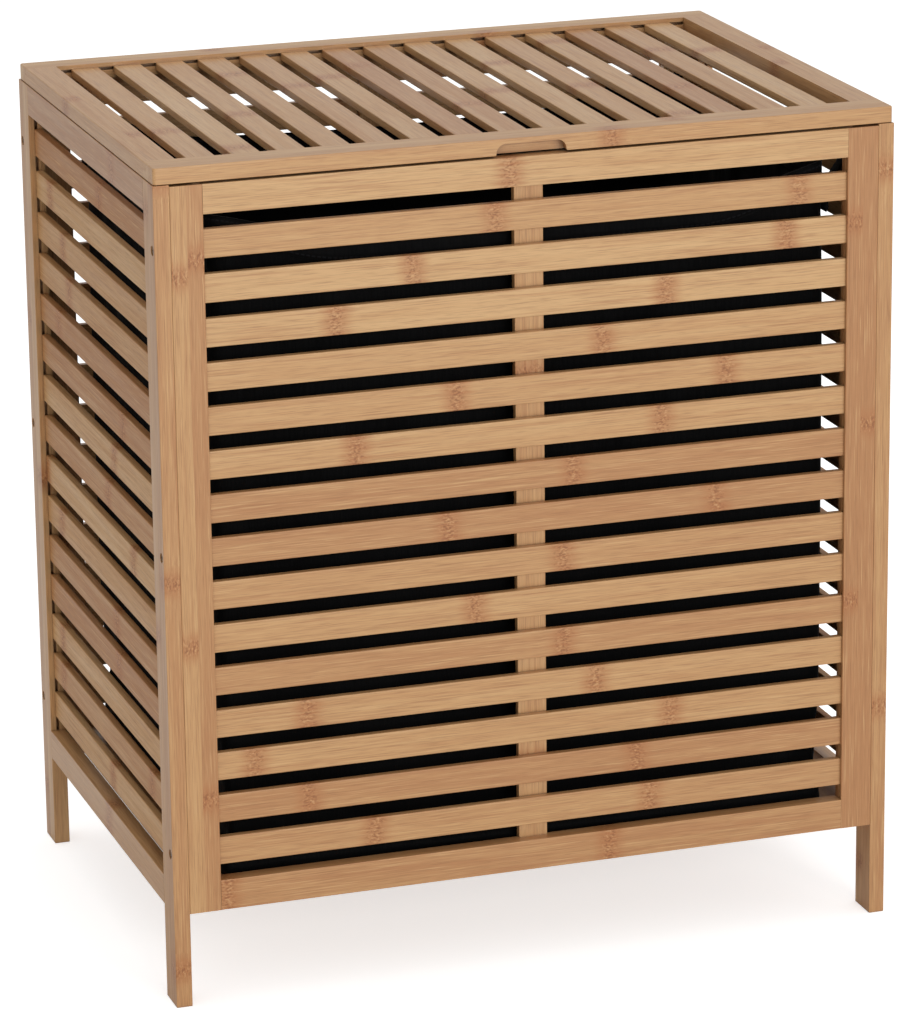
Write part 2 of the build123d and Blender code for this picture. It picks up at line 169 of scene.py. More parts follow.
start_clean()
bpy.ops.mesh.primitive_plane_add(size=floor_size, location=(0, 0, cad_low.z))
floor = bpy.context.object
floor.name = "floor"
settle(floor)

floor_material = bpy.data.materials.new("pale floor")
floor_material.use_nodes = True
floor_tree = floor_material.node_tree
floor_shader = floor_tree.nodes["Principled BSDF"]
floor_shader.inputs["Base Color"].default_value = (floor_albedo, floor_albedo, floor_albedo, 1)
floor_shader.inputs["Roughness"].default_value = 0.9
floor_shader.inputs["Emission Color"].default_value = (1, 1, 1, 1)
light_path = floor_tree.nodes.new("ShaderNodeLightPath")
seen_glow = floor_tree.nodes.new("ShaderNodeMath")
seen_glow.operation = "MULTIPLY"
seen_glow.inputs[1].default_value = floor_glow
floor_tree.links.new(light_path.outputs["Is Camera Ray"], seen_glow.inputs[0])
floor_tree.links.new(seen_glow.outputs[0], floor_shader.inputs["Emission Strength"])
floor.data.materials.append(floor_material)

for name, values in lights.items():
    light_data = bpy.data.lights.new(name, "AREA")
    light_data.shape = "SQUARE"
    light_data.size = values["size"]
    light_data.energy = values["power"]
    light = bpy.data.objects.new(name, light_data)
    light.location = values["place"]
    light.rotation_euler = (chest_middle - values["place"]).to_track_quat("-Z", "Y").to_euler()
    bpy.context.scene.collection.objects.link(light)
    print(name, values["power"], "W")

# %% [markdown]
# ## A small language for node trees
# A material is a graph, and written out link by link it is hard to read. Three helpers make it read like a
# sum: one makes a group with named sockets, one adds any node and wires its inputs, and one does arithmetic.
# An input may be a number, a colour or another node's output.

# %% Helpers for building shader graphs
def add_node(tree, kind, inputs=(), **settings):
    """Add a node; inputs is a dict of socket name or number to a value or another node's output."""
    node = tree.nodes.new(kind)
    for name, value in settings.items():
        setattr(node, name, value)
    for name, value in dict(inputs).items():
        if isinstance(value, bpy.types.NodeSocket):
            tree.links.new(value, node.inputs[name])
        else:
            node.inputs[name].default_value = value
    return node


def calculate(tree, operation, *values):
    """A Math node's output."""
    return add_node(tree, "ShaderNodeMath", dict(enumerate(values)), operation=operation).outputs[0]


def join(tree, x, y, z):
    """Three values as one vector."""
    return add_node(tree, "ShaderNodeCombineXYZ", {0: x, 1: y, 2: z}).outputs[0]


def noise(tree, vector, detail, roughness=0.5):
    """Soft random values from 0 to 1 at the scale the vector already has."""
    settings = {"Vector": vector, "Scale": 1.0, "Detail": detail, "Roughness": roughness}
    return add_node(tree, "ShaderNodeTexNoise", settings).outputs["Fac"]


def remap(tree, value, low, high, out_low=0.0, out_high=1.0):
    """A smooth step from one range to another."""
    settings = {"Value": value, "From Min": low, "From Max": high, "To Min": out_low, "To Max": out_high}
    return add_node(tree, "ShaderNodeMapRange", settings, interpolation_type="SMOOTHSTEP").outputs[0]


def tint(tree, amount, under, over, blend_type="MIX"):
    """Mix two colours."""
    node = add_node(tree, "ShaderNodeMix", data_type="RGBA", blend_type=blend_type)
    for name, value in (("Factor_Float", amount), ("A_Color", under), ("B_Color", over)):
        socket = next(s for s in node.inputs if s.identifier == name)
        if isinstance(value, bpy.types.NodeSocket):
            tree.links.new(value, socket)
        else:
            socket.default_value = value
    return next(s for s in node.outputs if s.identifier == "Result_Color")


def new_group(name, inputs, outputs):
    """A shader node group with named sockets. Returns the tree and its inputs by name."""
    group = bpy.data.node_groups.new(name, "ShaderNodeTree")
    kinds = {"float": "NodeSocketFloat", "vector": "NodeSocketVector", "color": "NodeSocketColor"}
    for socket_name, kind, value in inputs:
        socket = group.interface.new_socket(socket_name, in_out="INPUT", socket_type=kinds[kind])
        if value is not None:
            socket.default_value = value
    for socket_name, kind in outputs:
        group.interface.new_socket(socket_name, in_out="OUTPUT", socket_type=kinds[kind])
    return group, group.nodes.new("NodeGroupInput").outputs


def end_group(group, **results):
    """Wire the results to the group's outputs."""
    output = group.nodes.new("NodeGroupOutput")
    for name, value in results.items():
        group.links.new(value, output.inputs[name.replace("_", " ").title()])


# %% [markdown]
# ## Bamboo
# Bamboo lumber is strips of the culm's wall, planed and glued. Its fibres are fine, straight and a little
# darker than the flesh between them. Every twenty to forty centimetres the culm had a node, and there the
# strip has a band about a centimetre wide, redder and flecked, where the fibres swerve. Each strip comes from
# another culm, so neighbours differ in tone. A picture of wood would repeat and stretch. A graph in the
# piece's own coordinates doesn't: it runs along the grain, and it is solid, so the end grain is right too.
#
# The group takes a grain vector: x along the fibres, y across the face, z into the wood. Strips are numbered
# by y, and that number chooses their tone and where their nodes fall.

# %% Build the bamboo group
colour_pale = (0.690, 0.425, 0.195, 1)
colour_honey = (0.605, 0.335, 0.141, 1)
colour_russet = (0.500, 0.235, 0.092, 1)
colour_streak = (0.300, 0.122, 0.042, 1)
colour_glow = (0.455, 0.172, 0.055, 1)
colour_node = (0.260, 0.088, 0.024, 1)
band_reach = 0.0088        # the flecked band of a node, from its middle
glow_reach = 0.016         # the even glow round it
halo_reach = 0.032         # the fibres that it pushes aside
edge_stray = 0.003         # how far a band's edge strays along the grain
edge_detail = 420          # and how finely, per metre across it
swerve_stray = 0.0018      # how far the fibres swerve
swerve_detail = (160, 90)  # and how finely, per metre along and across them
strip_stride = 7.31        # takes each strip to another part of the noise
phase_spread = 7.0         # and each strip's first node to another place

bamboo_inputs = [
    ("Grain", "vector", None),
    ("Strip Start", "float", 0.0),
    ("Strip Pitch", "float", 0.02),
    ("Seed", "float", 0.0),
    ("Node Spacing", "float", 0.3),
    ("Tone", "float", 0.5),
]
bamboo_outputs = [("Color", "color"), ("Rough", "float"), ("Height", "float")]
bamboo, given = new_group("Bamboo", bamboo_inputs, bamboo_outputs)

axes = add_node(bamboo, "ShaderNodeSeparateXYZ", {0: given["Grain"]}).outputs
along, across, depth = axes[0], axes[1], axes[2]
strip_place = calculate(bamboo, "SUBTRACT", across, given["Strip Start"])
strip_place = calculate(bamboo, "DIVIDE", strip_place, given["Strip Pitch"])
strip = calculate(bamboo, "FLOOR", strip_place)
strip_number = join(bamboo, strip, given["Seed"], 0.5)
dice = add_node(bamboo, "ShaderNodeTexWhiteNoise", {"Vector": strip_number}).outputs["Color"]
dice = add_node(bamboo, "ShaderNodeSeparateColor", {0: dice}).outputs
strip_shift = calculate(bamboo, "MULTIPLY", strip, strip_stride)
strip_shift = calculate(bamboo, "ADD", strip_shift, given["Seed"])

# Where the nodes fall: each strip has its own spacing and start, and the band's edges are ragged.
spacing = calculate(bamboo, "MULTIPLY", given["Node Spacing"], remap(bamboo, dice[1], 0, 1, 0.8, 1.25))
node_phase = calculate(bamboo, "DIVIDE", along, spacing)
node_phase = calculate(bamboo, "ADD", node_phase, calculate(bamboo, "MULTIPLY", dice[0], phase_spread))
node_phase = calculate(bamboo, "SUBTRACT", calculate(bamboo, "FRACT", node_phase), 0.5)
signed_distance = calculate(bamboo, "MULTIPLY", node_phase, spacing)
edge_place = join(bamboo, strip_shift, calculate(bamboo, "MULTIPLY", across, edge_detail), depth)
ragged = remap(bamboo, noise(bamboo, edge_place, 2), 0.2, 0.8, -edge_stray, edge_stray)
signed_distance = calculate(bamboo, "ADD", signed_distance, ragged)
node_distance = calculate(bamboo, "ABSOLUTE", signed_distance)
node_band = remap(bamboo, node_distance, 0.001, band_reach, 1.0, 0.0)
node_halo = remap(bamboo, node_distance, 0.0, halo_reach, 1.0, 0.0)
node_glow = remap(bamboo, node_distance, 0.002, glow_reach, 1.0, 0.0)

# Fibres swerve beside a node, so the noise that draws them is pushed sideways there.
swerve_along = calculate(bamboo, "MULTIPLY", along, swerve_detail[0])
swerve_across = calculate(bamboo, "MULTIPLY", across, swerve_detail[1])
swerve = noise(bamboo, join(bamboo, swerve_along, swerve_across, strip), 1)
swerve = calculate(bamboo, "MULTIPLY", calculate(bamboo, "SUBTRACT", swerve, 0.5), node_halo)
bent = calculate(bamboo, "ADD", across, calculate(bamboo, "MULTIPLY", swerve, swerve_stray))


def fibre_noise(length, width, detail, shift):
    """Noise stretched along the grain: streaks of about this length and width, in metres."""
    x = calculate(bamboo, "MULTIPLY", along, 1 / length)
    x = calculate(bamboo, "ADD", x, strip_shift)
    y = calculate(bamboo, "MULTIPLY", bent, 1 / width)
    z = calculate(bamboo, "MULTIPLY", depth, 1 / width)
    z = calculate(bamboo, "ADD", z, calculate(bamboo, "ADD", strip_shift, shift))
    return noise(bamboo, join(bamboo, x, y, z), detail, 0.6)


broad = fibre_noise(0.160, 0.0060, 2, 3.0)
bundles = fibre_noise(0.090, 0.0021, 2, 7.0)
streaks = fibre_noise(0.045, 0.0009, 2, 11.0)
pores = fibre_noise(0.016, 0.0004, 1, 29.0)
flecks = fibre_noise(0.0028, 0.0013, 2, 47.0)

tone = calculate(bamboo, "ADD", dice[2], given["Tone"])
tone = calculate(bamboo, "ADD", tone, calculate(bamboo, "SUBTRACT", broad, 1.0))
color = tint(bamboo, remap(bamboo, tone, -0.1, 0.55), colour_pale, colour_honey)
color = tint(bamboo, remap(bamboo, tone, 0.5, 1.15), color, colour_russet)
color = tint(bamboo, remap(bamboo, bundles, 0.50, 0.72, 0.0, 0.60), color, colour_russet)
color = tint(bamboo, remap(bamboo, streaks, 0.50, 0.76, 0.0, 0.46), color, colour_streak)
color = tint(bamboo, remap(bamboo, pores, 0.48, 0.80, 0.0, 0.48), color, colour_streak)
color = tint(bamboo, remap(bamboo, streaks, 0.46, 0.26, 0.0, 0.75), color, colour_pale)

# A node: an even orange glow, dark flecks where the fibres dive, and pale ones where they come up again.
glow_amount = calculate(bamboo, "MULTIPLY", node_glow, remap(bamboo, bundles, 0.25, 0.65, 0.35, 0.80))
color = tint(bamboo, glow_amount, color, colour_glow)
dark_flecks = calculate(bamboo, "MULTIPLY", node_band, remap(bamboo, flecks, 0.50, 0.62, 0.0, 0.70))
pale_flecks = calculate(bamboo, "MULTIPLY", node_band, remap(bamboo, flecks, 0.44, 0.34, 0.0, 0.55))
color = tint(bamboo, dark_flecks, color, colour_node)
color = tint(bamboo, pale_flecks, color, colour_pale)

fibre_rise = 0.00006
node_rise = 0.00010
rough = remap(bamboo, broad, 0.25, 0.75, 0.38, 0.50)
height = calculate(bamboo, "MULTIPLY", streaks, fibre_rise)
height = calculate(bamboo, "ADD", height, calculate(bamboo, "MULTIPLY", node_band, node_rise))
end_group(bamboo, color=color, rough=rough, height=height)
print("bamboo group:", len(bamboo.nodes), "nodes")

# %% [markdown]
# ## Corners
# Inside corners, recesses, slat gaps and joints are darkened in the wood's own colour. At the joints this is
# partly the dust and thick varnish that they keep, but mostly it is painted shade where the room's light can't
# reach.
# The Ambient Occlusion node tells a corner from an open face: it counts how much of the space round a point is
# blocked, within a short reach. A painted mask could do the same, but this one follows the pieces wherever they
# meet.

# %% Build the corner-shade group
corners, given = new_group(
    "Corner Shade",
    [("Color", "color", (1, 1, 1, 1)), ("Amount", "float", 0.6), ("Reach", "float", 0.003)],
    [("Color", "color")],
)
colour_soil_and_shade = (0.10, 0.045, 0.020, 1)
# painted shade: where occlusion finds a corner or recess, the wood's colour is mixed towards dark brown
occlusion = add_node(corners, "ShaderNodeAmbientOcclusion", {"Distance": given["Reach"]}, samples=6)
corner_shade_mask = remap(corners, occlusion.outputs["AO"], 0.75, 0.35, 0.0, 1.0)
corner_shade_mask = calculate(corners, "MULTIPLY", corner_shade_mask, given["Amount"])
end_group(corners, color=tint(corners, corner_shade_mask, given["Color"], colour_soil_and_shade))
print("corner group:", len(corners.nodes), "nodes")

# %% [markdown]
# ## One bamboo finish for each bar and each row of slats
# A finish is the bamboo group with its own values: which way the grain runs, how wide its strips are and where
# the first one starts. A bar is one strip, or two that are glued. A row of slats shares a finish, and because
# strips are numbered by their place, fifteen slats come out as fifteen different strips. The satin varnish is
# a clear coat over the wood.

# %% Helpers for the finishes
coat_weight = 0.50
thin_coat = 0.05      # the side slats, which the spray reaches least
coat_roughness = 0.28


def new_material(name, **settings):
    """A material whose constant values sit on the Principled shader's own sockets."""
    material = bpy.data.materials.new(name)
    material.use_nodes = True
    shader = material.node_tree.nodes["Principled BSDF"]
    for socket, value in settings.items():
        shader.inputs[socket.replace("_", " ")].default_value = value
    return material, material.node_tree, shader


def use_group(tree, group, **inputs):
    """Place a node group in a material."""
    node = tree.nodes.new("ShaderNodeGroup")
    node.node_tree = group
    for name, value in inputs.items():
        socket = node.inputs[name.replace("_", " ").title()]
        if isinstance(value, bpy.types.NodeSocket):
            tree.links.new(value, socket)
        else:
            socket.default_value = value
    return node.outputs


def add_bump(tree, shader, height, distance, strength=1.0):
    """Feed a height, in metres, to the shader's normal."""
    inputs = {"Height": height, "Distance": distance, "Strength": strength}
    bump = add_node(tree, "ShaderNodeBump", inputs)
    tree.links.new(bump.outputs["Normal"], shader.inputs["Normal"])


def bamboo_finish(name, grain, start, pitch, seed, spacing=0.27, tone=0.5, reach=0.003, coat=coat_weight):
    """Bamboo whose grain, face and depth directions are the three letters of grain, such as "xzy"."""
    material, tree, shader = new_material(
        name, Coat_Weight=coat, Coat_Roughness=coat_roughness, Specular_IOR_Level=0.2 + 0.4 * coat
    )
    place = add_node(tree, "ShaderNodeTexCoord").outputs["Object"]
    parts = add_node(tree, "ShaderNodeSeparateXYZ", {0: place}).outputs
    turned = join(tree, *[parts["xyz".index(letter)] for letter in grain])
    wood = use_group(
        tree, bamboo, grain=turned, strip_start=start, strip_pitch=pitch,
        seed=seed, node_spacing=spacing, tone=tone,
    )
    # painted shade: the wood's colour is darkened in its corners, recesses and slat gaps
    shaded = use_group(tree, corners, color=wood["Color"], reach=reach)
    tree.links.new(shaded["Color"], shader.inputs["Base Color"])
    tree.links.new(wood["Rough"], shader.inputs["Roughness"])
    add_bump(tree, shader, wood["Height"], 1.0, 0.8)
    return material


def paint(names, material):
    """Give CAD pieces a finish."""
    for name in names:
        nodes[name].data.materials.clear()
        nodes[name].data.materials.append(material)


# %% Helpers that measure a piece and finish it
one_strip, two_strips = 1.2, 0.5      # a strip's width as a share of the bar's
wall_slat_count = 15
wall_slat_width = 0.021


def lowest(name, axis):
    """Where a piece starts along x, y or z."""
    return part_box(name)[0]["xyz".index(axis)]


def width(name, axis):
    """How wide a piece is along x, y or z."""
    low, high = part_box(name)
    return (high - low)["xyz".index(axis)]


def slat_row(name, axis, count, slat_width):
    """Where the strips of a row of slats start and how wide they are, with each slat inside one strip."""
    pitch = (width(name, axis) - slat_width) / (count - 1)
    return lowest(name, axis) - (pitch - slat_width) / 2, pitch


def finish_bar(name, grain, share, seed, **look):
    """Give a bar its own bamboo, with strips counted from its edge."""
    start, pitch = lowest(name, grain[1]), width(name, grain[1]) * share
    paint([name], bamboo_finish(name + " bamboo", grain, start, pitch, seed, **look))


def finish_wall_slats(name, grain, seed, **look):
    """Give the slats of a wall one bamboo, with a strip for each slat."""
    start, pitch = slat_row(name, "z", wall_slat_count, wall_slat_width)
    paint([name], bamboo_finish(name + " bamboo", grain, start, pitch, seed, **look))


# %% Finish the uprights and the walls
uprights = {
    "front_left": {"seed": 3.0, "tone": 0.40},
    "back_left": {"seed": 4.0, "tone": 0.45},
    "front_right": {"seed": 5.0, "tone": 1.05},
    "back_right": {"seed": 6.0, "tone": 0.45},
}
sides = ("left", "right")
walls = ("front", "back")
for end, look in uprights.items():
    finish_bar(f"{end}_leg", "zyx", two_strips, look["seed"], spacing=0.36, tone=0.40)
    finish_bar(f"{end}_stile", "zxy", two_strips, look["seed"] + 6, spacing=0.34, tone=look["tone"])
print("uprights finished:", 2 * len(uprights))

for number, wall in enumerate(walls):
    finish_bar(f"{wall}_top_rail", "xzy", one_strip, seed=21 + number)
    finish_bar(f"{wall}_bottom_rail", "xzy", one_strip, seed=26 + number)
    finish_bar(f"{wall}_centre_strip", "zxy", one_strip, seed=31 + number)
    finish_wall_slats(f"{wall}_slats", "xzy", seed=41 + number, spacing=0.26)
    finish_bar(f"{wall}_floor_ledger", "xzy", one_strip, seed=51 + number)
for number, side in enumerate(sides):
    finish_bar(f"{side}_top_rail", "yzx", one_strip, seed=61 + number)
    finish_bar(f"{side}_bottom_rail", "yzx", one_strip, seed=66 + number)
    finish_wall_slats(f"{side}_slats", "yzx", seed=71 + number, spacing=0.32, tone=0.70, coat=thin_coat)
print("walls finished:", len(walls) + len(sides))

# %% Finish the lid and the floor
floor_slat_count = 10
floor_slat_width = 0.040
# a longer reach of painted shade on the lid's rails darkens the finger scoop and the edges where the slats
# enter
lid_corner_reach = 0.008

for number, side in enumerate(sides):
    finish_bar(f"lid_{side}_stile", "yxz", two_strips, seed=81 + number, spacing=0.4)
for number, wall in enumerate(walls):
    finish_bar(
        f"lid_{wall}_rail", "xyz", two_strips, seed=91 + number, spacing=0.4, tone=0.3, reach=lid_corner_reach
    )

lid_slats = sorted(name for name in nodes if name.startswith("lid_slat_"))
pitch = lowest(lid_slats[1], "x") - lowest(lid_slats[0], "x")
start = lowest(lid_slats[0], "x") - (pitch - width(lid_slats[0], "x")) / 2
paint(lid_slats, bamboo_finish("lid slat bamboo", "yxz", start, pitch, seed=103, spacing=0.33))
print("lid slats:", len(lid_slats), "at a pitch of", round(pitch * 1000, 1), "mm")
start, pitch = slat_row("floor_slats", "x", floor_slat_count, floor_slat_width)
paint(["floor_slats"], bamboo_finish("floor slat bamboo", "yxz", start, pitch, seed=111, spacing=0.33))
print("floor slats:", floor_slat_count, "at a pitch of", round(pitch * 1000, 1), "mm")

# %% [markdown]
# ## Metal
# The panel screws and hooks are zinc plated and the hinges nickel plated. Plating is smooth, but it is never
# even: it clouds in patches, and it takes fine scratches. One group gives both, and each metal has its own
# values.

# %% Build the plating group and the three metals
scratch_detail = (4000, 250, 4000)
scratch_depth = 0.00002

plating, given = new_group(
    "Plating",
    [("Bright", "color", (0.8, 0.8, 0.8, 1)), ("Dull", "color", (0.5, 0.5, 0.5, 1)), ("Scale", "float", 300.0)],
    [("Color", "color"), ("Rough", "float"), ("Height", "float")],
)
place = add_node(plating, "ShaderNodeTexCoord").outputs["Object"]
cloud_place = add_node(plating, "ShaderNodeVectorMath", {0: place}, operation="SCALE")
plating.links.new(given["Scale"], cloud_place.inputs["Scale"])
clouds = noise(plating, cloud_place.outputs[0], 3)
stretched = add_node(plating, "ShaderNodeMapping", {"Vector": place, "Scale": scratch_detail})
scratches = noise(plating, stretched.outputs[0], 2)
metal_color = tint(plating, remap(plating, clouds, 0.3, 0.7), given["Bright"], given["Dull"])
metal_rough = remap(plating, clouds, 0.25, 0.75, 0.22, 0.42)
metal_height = calculate(plating, "MULTIPLY", scratches, scratch_depth)
end_group(plating, color=metal_color, rough=metal_rough, height=metal_height)


def metal_finish(name, bright, dull, scale):
    """A plated steel."""
    material, tree, shader = new_material(name, Metallic=1.0)
    metal = use_group(tree, plating, bright=bright, dull=dull, scale=scale)
    tree.links.new(metal["Color"], shader.inputs["Base Color"])
    tree.links.new(metal["Rough"], shader.inputs["Roughness"])
    add_bump(tree, shader, metal["Height"], 1.0, 0.6)
    return material


zinc = metal_finish("zinc plated screws", (0.78, 0.77, 0.74, 1), (0.52, 0.51, 0.49, 1), 500.0)
hook_zinc = metal_finish("zinc plated hooks", (0.72, 0.71, 0.68, 1), (0.45, 0.44, 0.42, 1), 260.0)
nickel = metal_finish("nickel plated hinges", (0.74, 0.71, 0.66, 1), (0.56, 0.53, 0.48, 1), 160.0)
paint(["panel_screws", "hinge_fixed_screws", "hinge_lid_screws"], zinc)
paint(["bag_hooks"], hook_zinc)
paint([name for name in nodes if "_hinge_" in name and not name.endswith("screws")], nickel)
print("metals:", zinc.name, hook_zinc.name, nickel.name)

# %% [markdown]
# ## Cloth
# The liner is a plain black polyester weave. Up close it is a grid of over-and-under threads; from a step away
# only its soft sheen and its creases show. The weave is drawn in the cloth's own UV map, laid out in metres,
# so that it follows the surface however it hangs. The hem and the loops are sewn with a lockstitch, which is a
# row of short dashes. It is drawn in the same map, at a fixed height of the cut, so it keeps its distance from
# the edge wherever the cloth rises or dips.

# %% Build the stitch group
stitching, given = new_group(
    "Stitch Row",
    [("First Row", "float", 0.0), ("Second Row", "float", 0.0), ("Step", "float", 0.004)],
    [("Mask", "float")],
)
flat_place = add_node(stitching, "ShaderNodeTexCoord").outputs["UV"]
flat_axes = add_node(stitching, "ShaderNodeSeparateXYZ", {0: flat_place}).outputs
stitch_place = calculate(stitching, "FRACT", calculate(stitching, "DIVIDE", flat_axes[0], given["Step"]))
stitch_ends = calculate(stitching, "ABSOLUTE", calculate(stitching, "SUBTRACT", stitch_place, 0.5))
dash = remap(stitching, stitch_ends, 0.30, 0.36, 1.0, 0.0)
row_masks = []
for row in ("First Row", "Second Row"):
    from_row = calculate(stitching, "ABSOLUTE", calculate(stitching, "SUBTRACT", flat_axes[1], given[row]))
    row_masks.append(remap(stitching, from_row, 0.0003, 0.0007, 1.0, 0.0))
both_rows = calculate(stitching, "MAXIMUM", *row_masks)
end_group(stitching, mask=calculate(stitching, "MULTIPLY", both_rows, dash))
print("stitch group:", len(stitching.nodes), "nodes")

# %% Build the weave group
slub_detail = (900, 60, 1)
fade_detail = (14, 14, 1)
colour_gap = (0.002, 0.002, 0.002, 1)
weave_rise = 0.00012
slub_rise = 0.00006

weave, given = new_group(
    "Plain Weave",
    [("Pitch", "float", 0.001), ("Base", "color", (0, 0, 0, 1)), ("Worn", "color", (0, 0, 0, 1))],
    [("Color", "color"), ("Rough", "float"), ("Height", "float")],
)
flat_place = add_node(weave, "ShaderNodeTexCoord").outputs["UV"]
flat_axes = add_node(weave, "ShaderNodeSeparateXYZ", {0: flat_place}).outputs
turns = calculate(weave, "DIVIDE", math.pi, given["Pitch"])
warp_wave = calculate(weave, "SINE", calculate(weave, "MULTIPLY", flat_axes[0], turns))
weft_wave = calculate(weave, "SINE", calculate(weave, "MULTIPLY", flat_axes[1], turns))
over = calculate(weave, "MULTIPLY", warp_wave, weft_wave)
thread_height = calculate(weave, "ABSOLUTE", over)
slub_place = add_node(weave, "ShaderNodeMapping", {"Vector": flat_place, "Scale": slub_detail}).outputs[0]
slubs = noise(weave, slub_place, 2)
fade_place = add_node(weave, "ShaderNodeMapping", {"Vector": flat_place, "Scale": fade_detail}).outputs[0]
fading = noise(weave, fade_place, 4, 0.6)
cloth_color = tint(weave, remap(weave, fading, 0.35, 0.75), given["Base"], given["Worn"])
cloth_color = tint(weave, remap(weave, thread_height, 0.9, 0.2, 0.0, 0.5), cloth_color, colour_gap)
cloth_rough = remap(weave, slubs, 0.3, 0.7, 0.62, 0.82)
cloth_height = calculate(weave, "MULTIPLY", thread_height, weave_rise)
cloth_height = calculate(weave, "ADD", cloth_height, calculate(weave, "MULTIPLY", slubs, slub_rise))
end_group(weave, color=cloth_color, rough=cloth_rough, height=cloth_height)
print("weave group:", len(weave.nodes), "nodes")

# %% Mix the three cloths
thread_color = (0.014, 0.014, 0.016, 1)
thread_rise = 0.0003
map_middle = 0.5      # cube projection puts the middle of the piece at the middle of the map
cloth_inset = 0.0012
wall_height = width("liner_bag", "z") - cloth_inset
hem_top = map_middle + wall_height / 2
hem_stitches = (hem_top - 0.0030, hem_top - 0.0150)
loop_stitches = (0.003, 0.015)


def cloth_finish(name, base, worn, pitch, stitch_rows=None):
    """Woven cloth with a soft sheen, and with two rows of stitches where their heights are given."""
    material, tree, shader = new_material(
        name, Sheen_Weight=0.05, Sheen_Roughness=0.40, Specular_IOR_Level=0.08
    )
    cloth = use_group(tree, weave, base=base, worn=worn, pitch=pitch)
    color, height = cloth["Color"], cloth["Height"]
    if stitch_rows:
        first, second = stitch_rows
        sewn = use_group(tree, stitching, first_row=first, second_row=second)
        color = tint(tree, sewn["Mask"], color, thread_color)
        height = calculate(tree, "ADD", height, calculate(tree, "MULTIPLY", sewn["Mask"], thread_rise))
    tree.links.new(color, shader.inputs["Base Color"])
    tree.links.new(cloth["Rough"], shader.inputs["Roughness"])
    add_bump(tree, shader, height, 1.0, 0.5)
    return material


bag_cloth = cloth_finish("black liner cloth", (0.0020, 0.0020, 0.0023, 1), (0.0046, 0.0046, 0.005, 1), 0.0011)
hem_cloth = cloth_finish(
    "black binding tape", (0.0050, 0.0050, 0.0056, 1), (0.009, 0.009, 0.0096, 1), 0.0008, hem_stitches
)
webbing = cloth_finish(
    "black webbing", (0.007, 0.007, 0.0076, 1), (0.012, 0.012, 0.013, 1), 0.0014, loop_stitches
)
print("cloths:", bag_cloth.name, hem_cloth.name, webbing.name)

# %% [markdown]
# ## The liner bag
# The liner is cut as a cross, a bottom with four walls, sewn up its corners and hung by a loop at each corner.
# Between the loops the rim sags, and the walls hang in shallow folds. Five flat plates would look like a box,
# so the bag starts as a fine grid, its walls are extruded upwards row by row, and then it is left to hang: the
# stiff bound rim and the crease round the bottom are held, the cloth between them is let out by a little, and a
# cloth simulation finds the folds.

# %% Shape the bag's cut
bag_low, bag_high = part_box("liner_bag")
cell = 0.012          # the width of one square of the grid
hair = 0.001          # points nearer than this count as touching
bag_width = bag_high.x - bag_low.x - 2 * cloth_inset
bag_depth = bag_high.y - bag_low.y - 2 * cloth_inset
bag_middle_y = (bag_low.y + bag_high.y) / 2
bag_floor = bag_low.z + cloth_inset
rows = 40
columns_x = round(bag_width / cell)
columns_y = round(bag_depth / cell)

start_clean()
bpy.ops.mesh.primitive_grid_add(
    x_subdivisions=columns_x, y_subdivisions=columns_y, size=1, location=(0, bag_middle_y, bag_floor)
)
bag = bpy.context.object
bag.name = "liner_bag_cloth"
bag.scale = (bag_width, bag_depth, 1)
settle(bag)


def on_outline(edge):
    """True for an edge on the outline of the bag's bottom."""
    ends = [bag.data.vertices[i].co for i in edge.vertices]
    at_side = all(abs(abs(p.x) - bag_width / 2) < 1e-5 for p in ends)
    at_end = all(abs(abs(p.y - bag_middle_y) - bag_depth / 2) < 1e-5 for p in ends)
    return at_side or at_end


def on_crease(edge):
    """True for an edge of the outline that is down at the bottom."""
    return on_outline(edge) and all(bag.data.vertices[i].co.z < bag_floor + hair for i in edge.vertices)


outline_edges = pick(bag, "EDGE", on_outline)
for row in range(rows):
    bpy.ops.mesh.extrude_region_move(TRANSFORM_OT_translate={"value": (0, 0, wall_height / rows)})
bpy.ops.mesh.select_all(action="SELECT")
bpy.ops.mesh.normals_make_consistent(inside=False)
bpy.ops.uv.cube_project(cube_size=1.0)
pick(bag, "EDGE", on_crease)
bpy.ops.transform.edge_crease(value=1.0)
start_clean()
map_heights = [entry.uv[1] for entry in bag.data.uv_layers.active.data]
print("bag cut:", outline_edges, "edges round,", len(bag.data.polygons), "faces")
print("the map runs from", round(min(map_heights), 4), "to", round(max(map_heights), 4))

# %% [markdown]
# The loops pull each corner of the rim up. On the long front and back walls the rim climbs over a hand's
# breadth and dips between. On the short side walls it stays taut, near the height of the hooks. That much is
# the cut and the hang together, so it is given to the mesh before the simulation. The binding also wavers a
# little in and out. The corner columns are drawn in, because a sewn corner is round.

# %% Raise the corners and let the rim dip
corner_rise = 0.020
rise_length = 0.100
rim_dip = 0.006
side_rim_dip = 0.003
rim_waver = 0.0022
waver_rate = 5.3
waver_start = {"front": 0.4, "back": 1.7}
fade_length = 0.16    # how far below the rim its shape has faded out
corner_round = 0.004
corner_radius = 0.024
corner_foot = 0.05    # how far above the bottom the corner is fully round


def ease_in(value):
    """A smooth step from 0 to 1."""
    value = max(0.0, min(1.0, value))
    return value * value * (3 - 2 * value)


